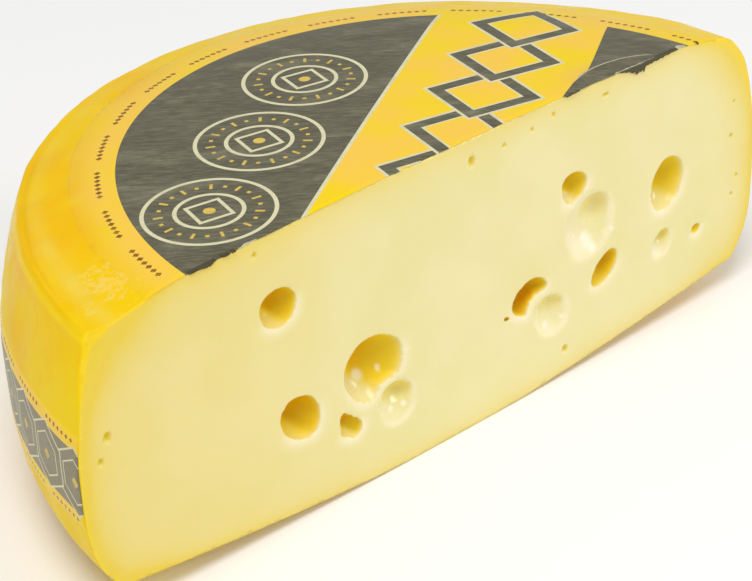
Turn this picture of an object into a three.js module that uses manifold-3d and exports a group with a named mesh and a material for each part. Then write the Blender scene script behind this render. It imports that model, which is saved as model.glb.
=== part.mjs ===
// Half of a big wheel of holed cheese in a yellow wax coat, with a printed label film
// on its top and a printed band round its side. Units are millimetres and degrees.
//
// Wheel frame: X runs along the cut, Y from the cut into the cheese, Z up, and z = 0 is
// the lowest point under the wheel's middle. The whole wheel is a turned shape that has
// settled a little oval. The half leans back from its cut and rests on a small flat spot.
import * as THREE from 'three';
import { mergeVertices } from 'three/addons/utils/BufferGeometryUtils.js';
import Module from 'manifold-3d';

const wasm = await Module();
wasm.setup();

// Wheel
const WHEEL_RADIUS = 166; // at the belly of the side, along the cut
const OVAL = 1.136; // the wheel is this much longer from front to back
const CUT_BEHIND_CENTRE = 24; // the cut lies this far behind the wheel's middle
const LEAN = 3.8;
const FLAT_SPOT_AT_CUT = 1.1; // height of the resting plane where it meets the cut

// Turned profile
const CROWN_HEIGHT = 119.5;
const CROWN_FALL = 2.2; // from the middle out to the shoulder
const SHOULDER_START = 118;
const SHOULDER_FALL = 4.85;
const TOP_RADIUS = 154;
const SIDE_TOP = 106;
const SIDE_TOP_DRAW_IN = 8.2;
const BELLY_HEIGHT = 60;
const SIDE_BOTTOM = 15.5;
const SIDE_BOTTOM_DRAW_IN = 9.9;
const BASE_RADIUS = 150;
const BASE_LIFT = 13.2; // the underside bulges, so its rim stands this high
const BASE_CORNER = { inset: 1.3, lift: 0.4 }; // from where side and base would meet
const TOP_CORNER = { inset: 0.6, drop: 0.8 };

// Films
const FILM_GAP = 0.3;
const FILM_THICKNESS = 0.4;
const LABEL = { x: 4.5, beyondCentre: 9.8, radius: 138 };
const BAND = { low: 40, high: 78 };
const TEAR = { depth: 0.5, steps: 60, longWave: 57, wave: 20, shortWave: 7.5 }; // along the cut

// Facet where the coat broke off the upper corner at the left end of the cut
const CHIP = { x: -155.5, z: 102, turn: 59, width: 2.2, tilt: 40, size: 40 };

// Eyes: place and half width and height of the mouth on the cut, then depth
const BIG = 28;
const MIDDLE = 20;
const SMALL = 10;
const EYES = [
  { x: -79.3, z: 89.4, wide: 8.0, tall: 7.4, depth: 12, sides: MIDDLE },
  { x: -72.9, z: 42.6, wide: 9.6, tall: 8.2, turn: 135, depth: 13, sides: BIG },
  { x: -51.2, z: 29.2, wide: 6.6, tall: 4.4, turn: 128, depth: 7, sides: MIDDLE },
  { x: 63.7, z: 79.7, wide: 7.0, tall: 6.3, depth: 9, sides: MIDDLE },
  { x: 79.7, z: 39.2, wide: 8.4, tall: 5.0, turn: 42, depth: 9, sides: MIDDLE },
  { x: 114.6, z: 62.3, wide: 11.2, tall: 8.8, turn: 70, depth: 12, sides: BIG },
  { x: 131.8, z: 35.5, wide: 2.6, tall: 2.0, turn: 21, depth: 3, sides: SMALL },
];
// A dimple lies on a pillar of paste that stands up inside the eye behind it
const HOODED_EYES = [
  {
    behindPillar: { x: -38.5, z: 47.1, wide: 14.0, tall: 13.2, depth: 12, sides: BIG },
    pillar: { x: -29.2, z: 29.8, wide: 10.9, tall: 9.1, turn: 146 },
    dimple: { x: -28.6, z: 30.2, wide: 8.2, tall: 6.4, turn: 160, depth: 4.5, sides: MIDDLE },
  },
  {
    behindPillar: { x: 39.5, z: 40.9, wide: 10.4, tall: 9.1, turn: 45, depth: 14, sides: BIG },
    pillar: { x: 48.8, z: 33.5, wide: 12.3, tall: 8.4, turn: 136 },
    dimple: { x: 50.4, z: 33.4, wide: 8.6, tall: 6.2, turn: 130, depth: 3, sides: MIDDLE },
  },
];
// Shallow eyes that the knife only just opened, each with a deeper hollow in it
const DIMPLES = [
  { x: 71.6, z: 61.1, wide: 13.7, tall: 12.9, turn: 28, depth: 4.5, sides: BIG },
  { x: 75.4, z: 66.5, wide: 7.2, tall: 5.7, turn: 153, depth: 6.5, sides: MIDDLE },
  { x: 111.9, z: 36.6, wide: 6.6, tall: 4.4, turn: 45, depth: 2, sides: MIDDLE },
  { x: 112.4, z: 39.8, wide: 3.6, tall: 2.4, turn: 30, depth: 3.2, sides: SMALL },
];
const PIT_TALL = 1.3; // height and depth of a pit against its width
const PIT_DEEP = 1.4;
const PITS = [
  { x: 11.6, z: 110.1, size: 1.9 },
  { x: 27.7, z: 110.5, size: 1.1 },
  { x: 41.8, z: 111.6, size: 1.0 },
  { x: 52.8, z: 113.6, size: 1.1 },
  { x: 80.0, z: 112.0, size: 1.7 },
  { x: 151.4, z: 69.0, size: 1.1 },
  { x: 152.5, z: 43.0, size: 0.9 },
  { x: 57.6, z: 12.9, size: 1.6 },
  { x: -152.6, z: 72.5, size: 1.7 },
  { x: -156.2, z: 64.6, size: 1.2 },
  { x: -87.6, z: 113.0, size: 1.0 },
];

// Fineness of the turned shapes
const TURN_STEPS = 96;
const CROWN_STEPS = 6;
const SHOULDER_STEPS = 5;
const SIDE_STEPS = 10;
const CORNER_STEPS = 3;
const BASE_STEPS = 7;

const WAX = new THREE.MeshStandardMaterial({ color: 0xf2c33a, roughness: 0.35 });
const LABEL_FILM = new THREE.MeshStandardMaterial({ color: 0x64645a, roughness: 0.45 });
const BAND_FILM = new THREE.MeshStandardMaterial({ color: 0x6a675c, roughness: 0.45 });

const radians = THREE.MathUtils.degToRad;
const steps = (count) => Array.from({ length: count + 1 }, (_, i) => i / count);

// ---- Solids ---------------------------------------------------------------

function solidOf(geometry) {
  geometry.deleteAttribute('normal');
  geometry.deleteAttribute('uv');
  const merged = mergeVertices(geometry);
  const corners = merged.index.array;
  const triangles = [];
  for (let i = 0; i < corners.length; i += 3) {
    const [a, b, c] = corners.slice(i, i + 3);
    if (a !== b && b !== c && c !== a) triangles.push(a, b, c);
  }
  return new wasm.Manifold(new wasm.Mesh({
    numProp: 3,
    vertProperties: merged.attributes.position.array,
    triVerts: new Uint32Array(triangles),
  }));
}

function meshOf(name, solid, material) {
  const { vertProperties, triVerts } = solid.getMesh();
  const geometry = new THREE.BufferGeometry();
  geometry.setAttribute('position', new THREE.BufferAttribute(vertProperties, 3));
  geometry.setIndex(new THREE.BufferAttribute(triVerts, 1));
  geometry.computeVertexNormals();
  const mesh = new THREE.Mesh(geometry, material);
  mesh.name = name;
  return mesh;
}

// A solid turned about the wheel's axis, stretched to the oval
function turned(profile) {
  return solidOf(new THREE.LatheGeometry(profile, TURN_STEPS)
    .rotateX(Math.PI / 2)
    .scale(1, OVAL, 1)
    .translate(0, -CUT_BEHIND_CENTRE, 0));
}

// Everything behind the plane y = front
function behind(front) {
  const size = 4 * WHEEL_RADIUS;
  return solidOf(new THREE.BoxGeometry(size, size, size).translate(0, front + size / 2, 0));
}

// ---- Wheel ----------------------------------------------------------------

function topHeight(radius) {
  const crown = CROWN_HEIGHT - CROWN_FALL * (radius / SHOULDER_START) ** 2;
  const pastStart = Math.max(0, radius - SHOULDER_START) / (TOP_RADIUS - SHOULDER_START);
  return crown - SHOULDER_FALL * pastStart ** 1.6;
}

function sideRadius(height) {
  if (height > BELLY_HEIGHT) {
    const up = (height - BELLY_HEIGHT) / (SIDE_TOP - BELLY_HEIGHT);
    return WHEEL_RADIUS - SIDE_TOP_DRAW_IN * up ** 2;
  }
  const down = (BELLY_HEIGHT - height) / (BELLY_HEIGHT - SIDE_BOTTOM);
  return WHEEL_RADIUS - SIDE_BOTTOM_DRAW_IN * down ** 4;
}

function baseHeight(radius) {
  return BASE_LIFT * (radius / BASE_RADIUS) ** 1.5;
}

// The rounded edge from one profile point to the next, inside the corner they make
function corner(from, through, to) {
  const curve = new THREE.QuadraticBezierCurve(from, through, to);
  return curve.getPoints(CORNER_STEPS).slice(1, -1);
}

function wheelProfile() {
  const base = steps(BASE_STEPS).map((t) => {
    const radius = BASE_RADIUS * t;
    return new THREE.Vector2(radius, baseHeight(radius));
  });
  const side = steps(SIDE_STEPS).map((t) => {
    const height = SIDE_BOTTOM + (SIDE_TOP - SIDE_BOTTOM) * t;
    return new THREE.Vector2(sideRadius(height), height);
  });
  const shoulder = steps(SHOULDER_STEPS).map((t) => {
    const radius = TOP_RADIUS + (SHOULDER_START - TOP_RADIUS) * t;
    return new THREE.Vector2(radius, topHeight(radius));
  });
  const crown = steps(CROWN_STEPS).slice(1).map((t) => {
    const radius = SHOULDER_START * (1 - t);
    return new THREE.Vector2(radius, topHeight(radius));
  });
  const lowCorner = new THREE.Vector2(
    sideRadius(SIDE_BOTTOM) - BASE_CORNER.inset,
    BASE_LIFT + BASE_CORNER.lift,
  );
  const highCorner = new THREE.Vector2(
    sideRadius(SIDE_TOP) - TOP_CORNER.inset,
    topHeight(TOP_RADIUS) - TOP_CORNER.drop,
  );
  return [
    ...base,
    ...corner(base.at(-1), lowCorner, side[0]),
    ...side,
    ...corner(side.at(-1), highCorner, shoulder[0]),
    ...shoulder,
    ...crown,
  ];
}

// What lies under the plane that the leaning half rests on
function underFlatSpot() {
  const size = 3 * WHEEL_RADIUS;
  return solidOf(new THREE.BoxGeometry(size, size, size)
    .translate(0, 0, -size / 2)
    .rotateX(radians(LEAN))
    .translate(0, 0, FLAT_SPOT_AT_CUT));
}

function chip() {
  const { x, z, turn, width, tilt, size } = CHIP;
  return solidOf(new THREE.BoxGeometry(size, size, size)
    .translate(0, 0, size / 2)
    .rotateX(radians(90 - tilt))
    .translate(0, 0, -width)
    .rotateY(radians(-turn))
    .translate(x, 0, z));
}

// ---- Eyes -----------------------------------------------------------------

// An ellipsoid whose mouth on the cut has the given half sizes
function eye({ x, z, wide, tall, turn = 0, depth, sides }) {
  const mouth = (wide + tall) / 2;
  const reach = (mouth ** 2 + depth ** 2) / (2 * depth);
  const middle = depth - reach;
  const swell = 1 / Math.sqrt(1 - (middle / reach) ** 2);
  return solidOf(new THREE.SphereGeometry(1, sides, sides / 2)
    .scale(wide * swell, reach, tall * swell)
    .rotateY(radians(-turn))
    .translate(x, middle, z));
}

function column({ x, z, wide, tall, turn }) {
  const length = WHEEL_RADIUS / 2;
  return solidOf(new THREE.CylinderGeometry(1, 1, length, BIG)
    .scale(wide, 1, tall)
    .rotateY(radians(-turn))
    .translate(x, 0, z));
}

function hoodedEye({ behindPillar, pillar, dimple }) {
  return eye(behindPillar).subtract(column(pillar)).add(eye(dimple));
}

function pit({ x, z, size }) {
  return eye({ x, z, wide: size, tall: PIT_TALL * size, depth: PIT_DEEP * size, sides: SMALL });
}

function holes() {
  return [...EYES.map(eye), ...HOODED_EYES.map(hoodedEye), ...DIMPLES.map(eye), ...PITS.map(pit)];
}

function cheese() {
  const half = turned(wheelProfile())
    .intersect(behind(0))
    .subtract(underFlatSpot())
    .subtract(chip());
  return holes().reduce((solid, hole) => solid.subtract(hole), half);
}

// ---- Films ----------------------------------------------------------------

// How far the knife tore the label back from the cut
function tearDepth(along) {
  const wave = (length) => Math.sin((2 * Math.PI * along) / length);
  const uneven = wave(TEAR.wave) + wave(TEAR.shortWave) * wave(TEAR.longWave);
  return TEAR.depth * (1 + uneven / 2);
}

// The label's outline from above: an arc, closed by the torn edge
function labelOutline() {
  const { x, beyondCentre, radius } = LABEL;
  const middle = beyondCentre - CUT_BEHIND_CENTRE;
  const start = Math.asin((FILM_GAP - middle) / (radius * OVAL));
  const shape = new THREE.Shape();
  shape.absellipse(x, middle, radius, radius * OVAL, start, Math.PI - start, false, 0);
  const reach = radius * Math.cos(start);
  for (const t of steps(TEAR.steps).slice(1, -1)) {
    const along = x - reach + 2 * reach * t;
    shape.lineTo(along, FILM_GAP + tearDepth(along));
  }
  return shape;
}

function topLabel() {
  const top = steps(CROWN_STEPS + SHOULDER_STEPS).map((t) => TOP_RADIUS * t);
  const at = (lift) => (radius) => new THREE.Vector2(radius, topHeight(radius) + lift);
  const skin = turned([
    ...top.map(at(FILM_GAP)),
    ...top.map(at(FILM_GAP + FILM_THICKNESS)).reverse(),
  ]);
  const prism = new THREE.ExtrudeGeometry(labelOutline(), {
    depth: 2 * CROWN_HEIGHT,
    bevelEnabled: false,
    curveSegments: TURN_STEPS / 2,
  });
  return skin.intersect(solidOf(prism));
}

function sideBand() {
  const rows = steps(SIDE_STEPS / 2).map((t) => BAND.low + (BAND.high - BAND.low) * t);
  const at = (lift) => (height) => new THREE.Vector2(sideRadius(height) + lift, height);
  const outside = rows.map(at(FILM_GAP + FILM_THICKNESS));
  const inside = rows.map(at(FILM_GAP)).reverse();
  return turned([...outside, ...inside, outside[0]]).intersect(behind(FILM_GAP));
}

// ---- The half wheel, leaning back on its flat spot ---------------------------

const halfWheel = new THREE.Group();
halfWheel.rotation.x = radians(-LEAN);
halfWheel.add(
  meshOf('cheese', cheese(), WAX),
  meshOf('top_label', topLabel(), LABEL_FILM),
  meshOf('side_label', sideBand(), BAND_FILM),
);

// The origin goes to the bottom centre of the box round the leaning half
const box = new THREE.Box3().setFromObject(halfWheel, true);
const centre = box.getCenter(new THREE.Vector3());
halfWheel.position.set(-centre.x, -centre.y, -box.min.z);

export default halfWheel;
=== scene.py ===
"""Half of a big wheel of holed cheese: a yellow wax coat, a printed film on its top and a printed
band round its side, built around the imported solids.

Shapes are worked out in millimetres and degrees in the wheel's own frame, as the solids are: X
along the cut, Y from the cut into the cheese, Z up, z = 0 the lowest point under the wheel's
middle. Each piece is moved into the row frame, in metres, when its mesh is made.
"""

import functools
import math

import bpy
import numpy as np
from mathutils import Matrix, Vector, noise
from mathutils.geometry import delaunay_2d_cdt


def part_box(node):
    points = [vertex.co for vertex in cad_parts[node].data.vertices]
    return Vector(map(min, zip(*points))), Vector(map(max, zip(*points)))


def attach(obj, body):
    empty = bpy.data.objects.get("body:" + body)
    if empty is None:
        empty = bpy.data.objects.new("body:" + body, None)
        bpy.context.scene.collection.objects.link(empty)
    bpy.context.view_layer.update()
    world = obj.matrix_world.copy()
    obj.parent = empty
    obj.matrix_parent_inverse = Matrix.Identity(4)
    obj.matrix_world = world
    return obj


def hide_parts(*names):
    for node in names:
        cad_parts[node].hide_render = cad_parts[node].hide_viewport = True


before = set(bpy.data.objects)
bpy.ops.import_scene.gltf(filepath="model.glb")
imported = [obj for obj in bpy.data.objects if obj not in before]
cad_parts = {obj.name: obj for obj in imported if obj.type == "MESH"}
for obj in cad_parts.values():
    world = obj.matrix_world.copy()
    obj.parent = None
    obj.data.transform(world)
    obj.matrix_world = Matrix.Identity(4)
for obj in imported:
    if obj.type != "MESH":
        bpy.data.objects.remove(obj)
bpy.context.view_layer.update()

MM = 0.001

# ---- Wheel, as in the solids ---------------------------------------------------------------

WHEEL_RADIUS = 166.0
OVAL = 1.136
CUT_BEHIND_CENTRE = 24.0
INNERMOST = CUT_BEHIND_CENTRE / OVAL  # the smallest turned radius that reaches the cut
LEAN = 3.8
FLAT_SPOT_AT_CUT = 1.1

CROWN_HEIGHT = 119.5
CROWN_FALL = 2.2
SHOULDER_START = 118.0
SHOULDER_FALL = 4.85
TOP_RADIUS = 154.0
SIDE_TOP = 106.0
SIDE_TOP_DRAW_IN = 8.2
BELLY_HEIGHT = 60.0
SIDE_BOTTOM = 15.5
SIDE_BOTTOM_DRAW_IN = 9.9
BASE_RADIUS = 150.0
BASE_LIFT = 13.2
BASE_CORNER = (1.3, 0.4)
TOP_CORNER = (0.6, 0.8)

# Chipped corner: a point of its plane, and the direction that it faces
CHIP_POINT = np.array([-153.6, 0.0, 100.9])
CHIP_FACING = np.array([-0.551, -0.766, 0.331])

# The coat's edge at the cut's right end is worn off to a slope
FAR_CORNER = dict(point=(152.3, 108.3), facing=(0.757, 0.653), softness=1.4)

# Films lie this far over the coat
FILM_LIFT = 0.35
FILM_EDGE_LIFT = -0.1
FILM_THICKNESS = 0.25

# ---- Eyes ------------------------------------------------------------------------------------


def eye(x, z, wide, tall, turn=0, depth=1.0, painted_shade=1.0, lit=0.75, outline=None):
    """An eye: a middle inside its mouth, the half size of its inside, then its depth, how deep a
    painted shade makes its colour, and how much painted light pales its lower wall. A mouth that
    isn't an ellipse has its outline."""
    return dict(x=x, z=z, wide=wide, tall=tall, turn=turn, depth=depth, painted_shade=painted_shade, lit=lit, outline=outline)


DEEP_EYES = [
    eye(-79.2, 89.3, 8.0, 7.4, 0, 7.5, 1.1, 0.65, [
        (-86.9, 92.2), (-85.7, 94.2), (-82.4, 96.2), (-78.2, 96.5), (-72.5, 93.5), (-71.3, 91.2),
        (-71.8, 87.0), (-73.3, 83.9), (-76.6, 81.9), (-79.5, 81.6), (-82.9, 82.8), (-85.8, 85.3),
        (-86.4, 87.6), (-87.1, 88.6),
    ]),
    eye(-73.0, 42.5, 9.6, 8.2, 135, 9, 1.1, 0.45, [
        (-81.8, 45.7), (-80.4, 49.0), (-79.6, 48.9), (-78.9, 50.6), (-74.1, 51.5), (-69.8, 50.4),
        (-65.1, 45.4), (-64.1, 41.3), (-64.6, 37.0), (-66.7, 34.0), (-69.7, 33.1), (-74.0, 34.3),
        (-78.2, 37.1), (-81.1, 41.4),
    ]),
    eye(-50.6, 29.2, 6.2, 4.8, 128, 5, 0.95, 0.6, [
        (-55.3, 32.9), (-54.8, 34.7), (-53.6, 35.4), (-52.7, 35.5), (-51.8, 33.9), (-49.0, 31.6),
        (-46.4, 29.7), (-45.3, 28.2), (-45.6, 25.3), (-46.8, 23.5), (-48.8, 23.1), (-51.7, 24.7),
        (-55.0, 26.7), (-55.1, 29.8),
    ]),
    eye(-41.5, 48.6, 14.0, 13.2, 0, 10, 0.95, 0.95, [
        (-52.4, 49.8), (-51.3, 53.2), (-48.0, 57.6), (-43.4, 60.1), (-38.1, 60.4), (-32.2, 58.5),
        (-27.7, 55.8), (-25.0, 52.3), (-24.5, 47.8), (-25.3, 43.5), (-26.6, 40.7), (-28.2, 39.6),
        (-31.7, 39.7), (-35.6, 38.8), (-38.1, 35.9), (-40.5, 34.3), (-43.5, 34.9), (-47.1, 37.4),
        (-50.5, 42.3), (-52.3, 46.4),
    ]),
    eye(36.3, 43.9, 9.4, 7.6, 20, 8, 1.25, 0.1, [
        (37.4, 36.3), (34.3, 37.2), (31.1, 39.6), (30.1, 42.8), (31.7, 45.9), (35.4, 48.7),
        (39.5, 50.3), (44.1, 49.9), (47.3, 47.9), (48.9, 44.9), (48.1, 43.4), (44.9, 43.3),
        (42.1, 42.9), (39.3, 41.1), (37.9, 38.7),
    ]),
    eye(63.7, 79.8, 7.0, 6.3, 0, 6, 0.84, 0.75, [
        (57.1, 83.0), (59.1, 85.4), (62.8, 86.2), (66.0, 85.5), (69.3, 83.4), (70.4, 80.4),
        (69.2, 77.6), (66.4, 75.0), (63.2, 73.4), (60.0, 74.1), (58.0, 76.9), (57.3, 80.0),
    ]),
    eye(79.7, 39.2, 8.4, 5.0, 42, 6.5, 1.05, 0.2),
    eye(114.6, 62.3, 11.2, 8.8, 70, 8, 0.74, 0.6),
    eye(131.8, 35.5, 2.6, 2.0, 21, 1.6, 0.9, 0.3),
]
# Shallow ones: a wide dish, then a deeper hollow in its upper part. Each hollow gets painted shade, deepest
# at its top, and each dish painted light low down.
DIMPLES = [
    eye(-28.8, 29.3, 10.5, 9.0, 117, 2.4, 0.0, 0.35),
    eye(-27.6, 31.4, 7.8, 5.6, 163, 4.8, 0.28),
    eye(50.0, 31.6, 10.4, 8.7, 135, 2.2, 0.0, 0.7),
    eye(50.7, 34.6, 7.0, 5.0, 165, 3.6, 0.2),
    eye(70.8, 61.8, 14.3, 13.1, 98, 3.0, 0.0, 0.9),
    eye(75.0, 65.8, 7.6, 8.2, 45, 5.0, 0.2),
    eye(111.8, 36.9, 6.6, 5.3, 46, 1.7, 0.0, 0.9),
    eye(112.2, 39.2, 4.4, 3.6, 30, 3.2, 0.3),
]
FAINT_DIMPLES = [eye(15.1, 66.8, 8.6, 8.2, 0, 0.45), eye(-9.5, 26.9, 3.9, 3.4, 20, 0.4)]
# Pinholes: where they are and their half size across and up
PITS = [
    (11.6, 110.1, 1.7, 2.5),
    (27.7, 110.5, 1.2, 1.1),
    (41.8, 111.6, 1.0, 1.1),
    (52.8, 113.6, 1.1, 1.3),
    (80.0, 112.0, 1.9, 0.9),
    (151.4, 69.0, 1.1, 1.3),
    (152.5, 43.0, 0.9, 1.1),
    (155.2, 50.4, 0.9, 1.1),
    (152.6, 83.7, 0.8, 0.8),
    (57.6, 12.9, 1.6, 2.0),
    (-152.6, 72.5, 1.7, 2.2),
    (-156.2, 64.6, 1.2, 1.6),
    (-87.6, 113.0, 1.0, 1.3),
]
NICKS = [eye(27.0, 39.1, 1.5, 0.8, -20, 1.8, 1.2, 0.0)]
PIT_EYES = [eye(x, z, wide, tall, 0, 0.35 * (wide + tall), 0.55) for x, z, wide, tall in PITS] + NICKS
# Painted highlights, small pale spots on the paste: where they are and how far they reach
PAINTED_GLINTS = [
    (-40.1, 42.1, 2.6), (-32.3, 42.1, 1.0), (-31.9, 43.0, 1.0), (-30.2, 25.8, 1.5), (-24.1, 25.6, 1.4),
    (48.4, 27.1, 1.9), (56.5, 27.6, 1.0), (70.6, 55.6, 2.8), (71.8, 53.4, 3.1), (73.2, 50.8, 2.6),
    (83.5, 54.8, 1.4), (-24.2, 47.9, 0.6), (-22.8, 48.0, 0.6), (-21.3, 48.2, 0.7),
]

# ---- Small helpers --------------------------------------------------------------------------


def place():
    """The wheel frame in millimetres to the row frame in metres: leant back on the flat spot."""
    lowest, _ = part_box("cheese")
    lean = math.radians(LEAN)
    front = lowest.y - FLAT_SPOT_AT_CUT * MM * math.sin(lean)
    floor = -FLAT_SPOT_AT_CUT * MM * math.cos(lean)
    return Matrix.Translation((0, front, floor)) @ Matrix.Rotation(-lean, 4, "X")


def points_of(*parts):
    """Points from their coordinates, each of which is a number or an array."""
    return np.stack(np.broadcast_arrays(*parts), axis=-1)


def heading(angle):
    """Unit steps in a plane, by their angle in radians."""
    return points_of(np.cos(angle), np.sin(angle))


def travelled(points):
    """How far each of a line of plane points is from the first, along the line."""
    return np.concatenate([[0], np.cumsum(np.hypot(*np.diff(points, axis=0).T))])


def noise_at(points, wavelength, seed):
    """Smooth noise from about -1 to 1 at points in space."""
    shift = Vector((seed * 17.3, seed * 5.1, seed * 9.7))
    return np.array([noise.noise(Vector(p) / wavelength + shift) for p in points])


def bump(distance, width):
    """1 at no distance, falling smoothly to 0 a few widths away."""
    return np.exp(-((distance / width) ** 2))


def rise(value, low, high):
    """0 below low, 1 above high, smooth between."""
    t = np.clip((value - low) / (high - low), 0, 1)
    return t * t * (3 - 2 * t)


def blunt(value, softness):
    """The part of value above 0, with the corner at 0 rounded."""
    return (value + np.sqrt(value**2 + softness**2)) / 2


def inside(points, outline):
    """Which plane points lie inside a closed outline."""
    x, y = points[:, 0, None], points[:, 1, None]
    ax, ay = outline.T
    bx, by = np.roll(outline, -1, axis=0).T
    spans = (ay > y) != (by > y)
    flat = np.where(by == ay, 1.0, by - ay)
    return (spans & (x < ax + (y - ay) * (bx - ax) / flat)).sum(1) % 2 == 1


def inset(outline, distance):
    """The outline moved inward, going round with its inside on the left."""
    along = np.roll(outline, -1, axis=0) - np.roll(outline, 1, axis=0)
    inward = points_of(-along[:, 1], along[:, 0])
    return outline + distance * inward / np.linalg.norm(inward, axis=1, keepdims=True)


def distance_to(points, outline):
    """Distance from each plane point to the nearest of an outline's lines."""
    steps = np.roll(outline, -1, axis=0) - outline
    nearest = np.full(len(points), 1e9)
    for start, step in zip(outline, steps):
        t = np.clip(((points - start) @ step) / max(step @ step, 1e-12), 0, 1)
        nearest = np.minimum(nearest, np.hypot(*(points - start - t[:, None] * step).T))
    return nearest


def hexagonal(low, high, spacing):
    """Plane points in staggered rows, nudged a little so that no rows show."""
    rng = np.random.default_rng(7)
    across = np.arange(low[0], high[0], spacing)
    rows = np.arange(low[1], high[1], spacing * 0.866)
    x, y = np.meshgrid(across, rows)
    x = x + spacing / 2 * (np.arange(len(rows)) % 2)[:, None]
    points = points_of(x.ravel(), y.ravel())
    return points + rng.uniform(-0.12, 0.12, points.shape) * spacing


def triangles(points, loops):
    """Fine triangles over plane points, with the loops' lines kept as edges.

    Returns the points, the triangles and, for each point, the index of the one it came from."""
    edges = [(a, b) for loop in loops for a, b in zip(loop, np.roll(loop, -1))]
    vectors = [Vector(p) for p in points]
    made, _, faces, sources, _, _ = delaunay_2d_cdt(vectors, edges, [], 0, 1e-5, True)
    source = np.array([s[0] if s else -1 for s in sources])
    return np.array([tuple(p) for p in made]), np.array(faces), source


def cells(index):
    """The four corners of a grid's cells, as four lists of point numbers."""
    a, b = index[:-1, :-1].ravel(), index[:-1, 1:].ravel()
    c, d = index[1:, 1:].ravel(), index[1:, :-1].ravel()
    return a, b, c, d


def used_only(faces):
    """The points that faces have, and the faces with those points' numbers in that list."""
    used = sorted({int(i) for f in faces for i in f})
    number = {old: new for new, old in enumerate(used)}
    return used, [tuple(number[i] for i in f) for f in faces]


def make_mesh(name, points, faces, materials, slots, values, flat=()):
    """An object from wheel-frame points. slots is each face's material, values the named numbers
    that the points carry to the materials, flat the faces that aren't shaded smooth."""
    mesh = bpy.data.meshes.new(name)
    to_row = place()
    placed = [to_row @ (Vector(p) * MM) for p in points]
    mesh.from_pydata(placed, [], [list(map(int, f)) for f in faces])
    for material in materials:
        mesh.materials.append(material)
    mesh.polygons.foreach_set("material_index", np.asarray(slots, np.int32))
    for key, numbers in values.items():
        layer = mesh.attributes.new(key, "FLOAT", "POINT")
        layer.data.foreach_set("value", np.asarray(numbers, np.float32))
    smooth = np.ones(len(mesh.polygons), bool)
    smooth[list(flat)] = False
    mesh.polygons.foreach_set("use_smooth", smooth)
    mesh.validate()
    mesh.update()
    piece = bpy.data.objects.new(name, mesh)
    bpy.context.scene.collection.objects.link(piece)
    return piece


# ---- The turned outline and the coat's relief --------------------------------------------------


def radius_at(points):
    """The wheel's turned radius at points in space or seen from above."""
    return np.hypot(points[:, 0], (points[:, 1] + CUT_BEHIND_CENTRE) / OVAL)


def top_height(radius):
    past = np.clip((radius - SHOULDER_START) / (TOP_RADIUS - SHOULDER_START), 0, None)
    return CROWN_HEIGHT - CROWN_FALL * (radius / SHOULDER_START) ** 2 - SHOULDER_FALL * past**1.6


def side_radius(height):
    up = np.clip((height - BELLY_HEIGHT) / (SIDE_TOP - BELLY_HEIGHT), 0, None)
    down = np.clip((BELLY_HEIGHT - height) / (BELLY_HEIGHT - SIDE_BOTTOM), 0, None)
    return WHEEL_RADIUS - SIDE_TOP_DRAW_IN * up**2 - SIDE_BOTTOM_DRAW_IN * down**4


def base_height(radius):
    return BASE_LIFT * (radius / BASE_RADIUS) ** 1.5


def corner(start, through, end, count):
    """Points of the rounded edge between two profile points, without its ends."""
    t = np.linspace(0, 1, count + 2)[1:-1, None]
    return (1 - t) ** 2 * start + 2 * t * (1 - t) * through + t**2 * end


def wheel_profile():
    """(radius, height) from under the cut's middle, up the side and back over the crown, with
    more points beside the upper edge."""
    base = np.linspace(INNERMOST, BASE_RADIUS, 34)
    base = points_of(base, base_height(base))
    plain = np.linspace(SIDE_BOTTOM, SIDE_TOP - 8, 42)
    side = np.concatenate([plain, SIDE_TOP + np.arange(-7.6, 0.1, 0.4)])
    side = points_of(side_radius(side), side)
    plain = np.linspace(TOP_RADIUS - 12, INNERMOST, 60)
    top = np.concatenate([TOP_RADIUS - np.arange(0, 12, 0.5), plain])
    top = points_of(top, top_height(top))
    through_low = np.array([side[0, 0] - BASE_CORNER[0], BASE_LIFT + BASE_CORNER[1]])
    through_high = np.array([side[-1, 0] - TOP_CORNER[0], top[0, 1] - TOP_CORNER[1]])
    low = corner(base[-1], through_low, side[0], 5)
    high = corner(side[-1], through_high, top[0], 18)
    return np.concatenate([base, low, side, high, top])


def normals_on(profile, turn):
    """Outward directions of the oval turned surface: profile rows by turning angles."""
    run = np.gradient(profile, axis=0)
    out, up = run[:, 1, None], -run[:, 0, None]
    normal = points_of(out * np.cos(turn), out * np.sin(turn) / OVAL, up)
    return normal / np.linalg.norm(normal, axis=-1, keepdims=True)


def on_wheel(radius, turn, height):
    """Space points of the turned shape."""
    return points_of(radius * np.cos(turn), radius * np.sin(turn) * OVAL - CUT_BEHIND_CENTRE, height)


# Fold of the coat's film round the shoulder: its outer groove, and how far in from that its ridge,
# the crack in the ridge and its inner groove lie
SEAM = dict(radius=156.3, height=108.6, ridge=1.8, width=1.1, rise=0.45, crack=1.7, inner=3.2)
LABEL = dict(x=4.5, y=-14.2, radius=138.0)
BAND = dict(low=40.0, high=78.0)


def past_seam(points):
    """Distance across the fold from its outer groove, below 0 towards the side."""
    outward, upward = radius_at(points) - SEAM["radius"], points[:, 2] - SEAM["height"]
    wander = 0.7 * noise_at(points, 34, 5)
    return np.sign(upward - outward) * np.hypot(outward, upward) + wander


def grooves_at(points, across):
    """How far in the fold's inner and outer grooves points are. Both fade out to the right and
    at the back. The inner one starts a little behind the cut as a fine line and is wide farther
    back. The crack in the ridge beside its start counts as part of it."""
    x, y = points[:, 0], points[:, 1]
    left = (1 - rise(x, -50, 10)) * (1 - rise(y, 100, 140))
    inner = bump(across - SEAM["inner"], 0.4 + 0.9 * rise(y, 55, 85))
    crack = bump(across - SEAM["crack"], 0.5) * rise(y, 8, 20) * (1 - rise(y, 55, 75))
    return left * np.maximum(inner * rise(y, 22, 42), crack), left * bump(across + 0.5, 1.8)


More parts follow.
